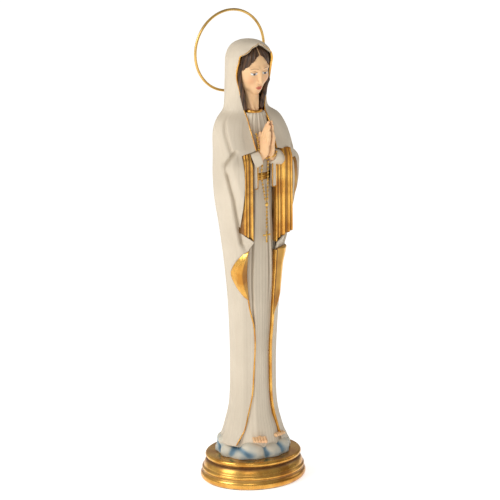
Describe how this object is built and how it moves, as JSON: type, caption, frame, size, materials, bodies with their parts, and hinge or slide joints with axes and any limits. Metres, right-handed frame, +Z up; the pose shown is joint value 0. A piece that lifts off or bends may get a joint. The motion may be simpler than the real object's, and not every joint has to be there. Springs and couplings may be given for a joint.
{
  "type": "madonna statue",
  "caption": "Standing praying madonna in ivory mantle with gold lining, on a gilt oval base, with wire halo and a bead rosary.",
  "frame": {"origin": "middle of the underside of the base's felt", "axes": "+Z up; the figure faces -Y; +X is the figure's left"},
  "size_m": [0.098, 0.087, 0.4224],
  "materials": {
    "felt": "short green wool felt",
    "gold_paint": "antique gold leaf over painted resin, satin",
    "zinc_steel": "zinc plated",
    "insert_brass": "turned brass",
    "cloud_paint": "grey white and blue airbrushed paint on resin, satin",
    "tunic_paint": "stone beige paint on resin, satin",
    "mantle_paint": "ivory paint on resin, satin",
    "skin_paint": "flesh coloured paint on resin, satin",
    "hair_paint": "dark brown paint on resin, satin",
    "clear_plastic": "natural nylon",
    "halo_brass": "polished brass wire",
    "rosary_brass": "gilt brass beads and wire"
  },
  "bodies": {
    "statue": {"felt_pad": "felt", "base_plinth": "gold_paint", "base_washer": "zinc_steel", "base_screw": "zinc_steel", "threaded_insert": "insert_brass", "cloud_mound": "cloud_paint", "tunic": "tunic_paint", "foot_right": "skin_paint", "foot_left": "skin_paint", "belt": "gold_paint", "collar": "gold_paint", "mantle": "mantle_paint", "lining_right": "gold_paint", "lining_left": "gold_paint", "inner_sleeve_right": "tunic_paint", "inner_sleeve_left": "tunic_paint", "hip_lining_right": "gold_paint", "hip_lining_left": "gold_paint", "cuff_right": "tunic_paint", "cuff_left": "tunic_paint", "hand_right": "skin_paint", "hand_left": "skin_paint", "head": "skin_paint", "hair": "hair_paint", "halo_socket": "insert_brass", "rosary_wrap": "rosary_brass"},
    "halo_slider": {"halo_sleeve": "clear_plastic"},
    "halo": {"halo_stem": "halo_brass", "halo_ring": "halo_brass"},
    "rosary_drop": {"rosary_strands": "rosary_brass", "rosary_medal": "rosary_brass"},
    "rosary_tail": {"rosary_pendant": "rosary_brass"},
    "crucifix": {"rosary_cross": "rosary_brass"}
  },
  "joints": [
    {"name": "halo_pull", "type": "slide", "parent": "statue", "child": "halo_slider", "axis": [0, 1, 0], "range_m": [0, 0.02]},
    {"name": "halo_turn", "type": "hinge", "parent": "halo_slider", "child": "halo", "pos_m": [0, 0.0375, 0.3488], "axis": [0, 1, 0], "range_deg": [-30, 30]},
    {"name": "rosary_swing", "type": "hinge", "parent": "statue", "child": "rosary_drop", "pos_m": [0, -0.0212, 0.299], "axis": [-1, 0, 0], "range_deg": [0, 40]},
    {"name": "pendant_swing", "type": "hinge", "parent": "rosary_drop", "child": "rosary_tail", "pos_m": [0, -0.0212, 0.254], "axis": [-1, 0, 0], "range_deg": [-1, 45]},
    {"name": "crucifix_swing", "type": "hinge", "parent": "rosary_tail", "child": "crucifix", "pos_m": [0, -0.0212, 0.233], "axis": [-1, 0, 0], "range_deg": [-4, 60]}
  ]
}
